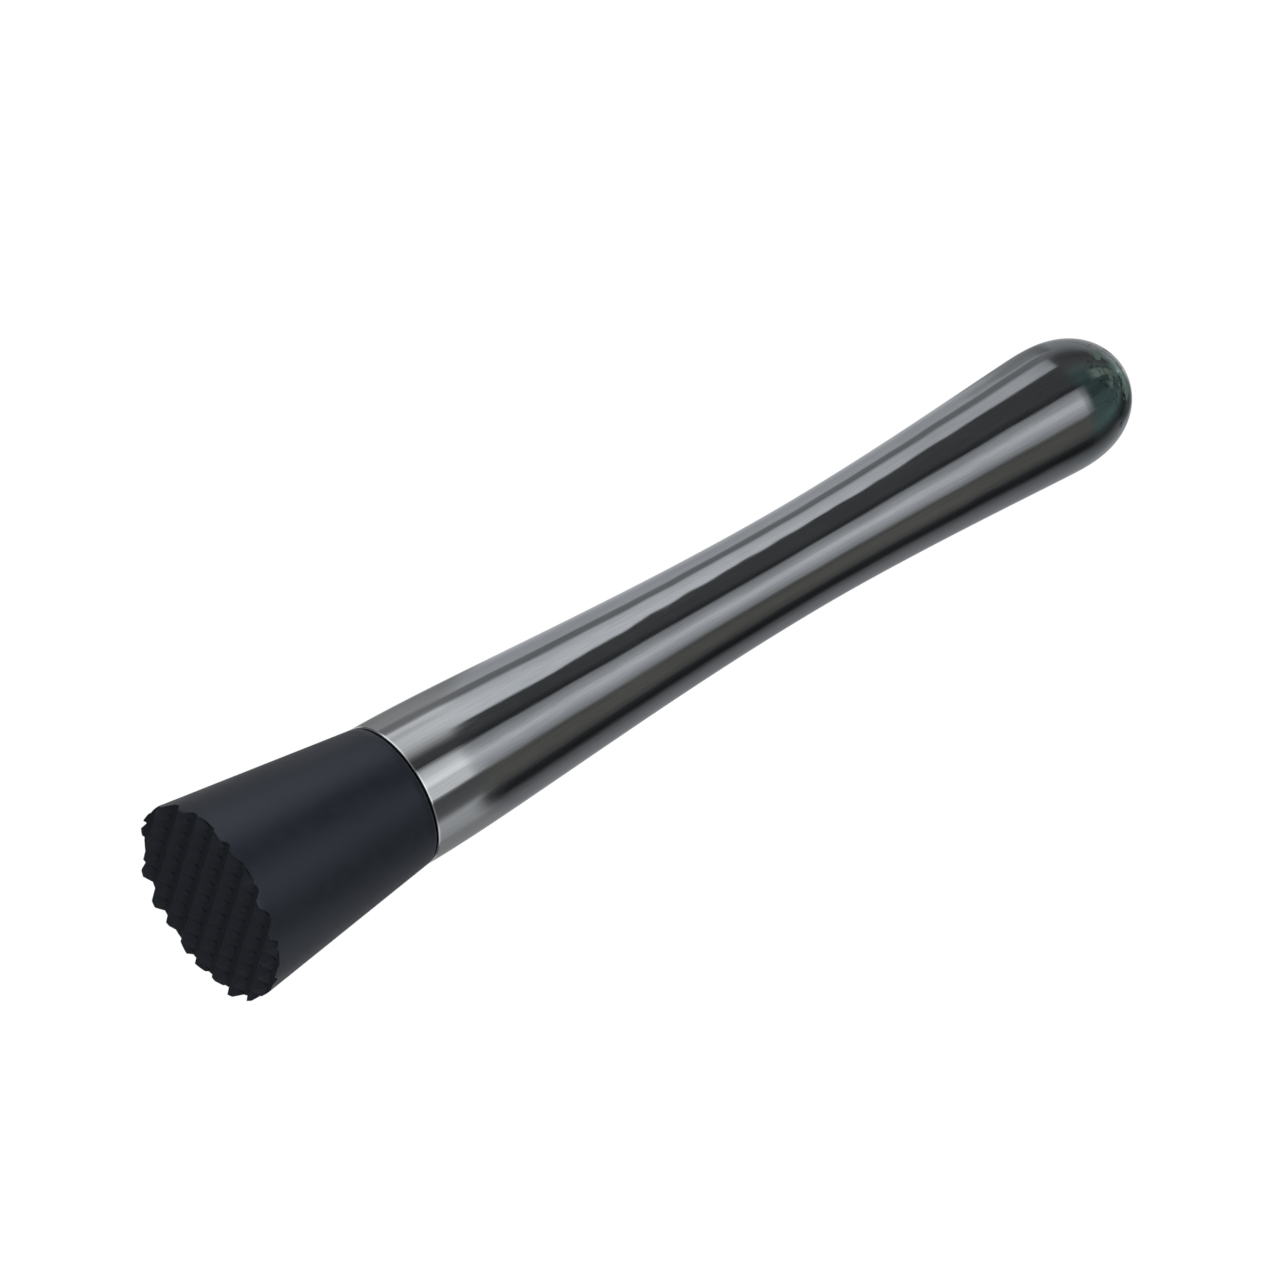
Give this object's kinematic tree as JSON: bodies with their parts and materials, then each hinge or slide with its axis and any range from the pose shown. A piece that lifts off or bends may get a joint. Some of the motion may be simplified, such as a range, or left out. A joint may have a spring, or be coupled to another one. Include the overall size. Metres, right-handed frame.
{
  "type": "bar muddler",
  "caption": "Hand-held bar muddler: waisted hollow steel handle with a domed end, screwed onto a flared nylon head with a toothed face for crushing herbs and fruit.",
  "frame": {"origin": "centre of the toothed face, in the plane of the tooth tips, which is the bottom of the object as it stands on its head", "axes": "+Z along the muddler's axis towards the dome; +X and +Y along the two sets of grooves between the teeth"},
  "size_m": [0.0358, 0.0358, 0.2058],
  "materials": {
    "handle_steel": "mirror-polished stainless steel with fine hairlines along the handle",
    "plug_plastic": "moulded nylon",
    "seal_rubber": "soft black rubber",
    "head_nylon": "matte blue-black moulded nylon",
    "stud_steel": "rolled stainless steel thread"
  },
  "bodies": {
    "head": {"head": "head_nylon", "head_stud": "stud_steel"},
    "seal": {"seal_ring": "seal_rubber"},
    "handle": {"handle_tube": "handle_steel", "end_dome": "handle_steel", "thread_plug": "plug_plastic"}
  },
  "joints": [
    {"name": "handle_lift", "type": "slide", "parent": "head", "child": "seal", "axis": [0, 0, 1], "range_m": [0, 0.009]},
    {"name": "handle_turn", "type": "hinge", "parent": "seal", "child": "handle", "pos_m": [0, 0, 0.0395], "axis": [0, 0, 1], "range_deg": [0, 2160]}
  ],
  "couplings": [
    {"joint": "handle_lift", "follows": "handle_turn", "m_per_rad": 0.00023873}
  ]
}
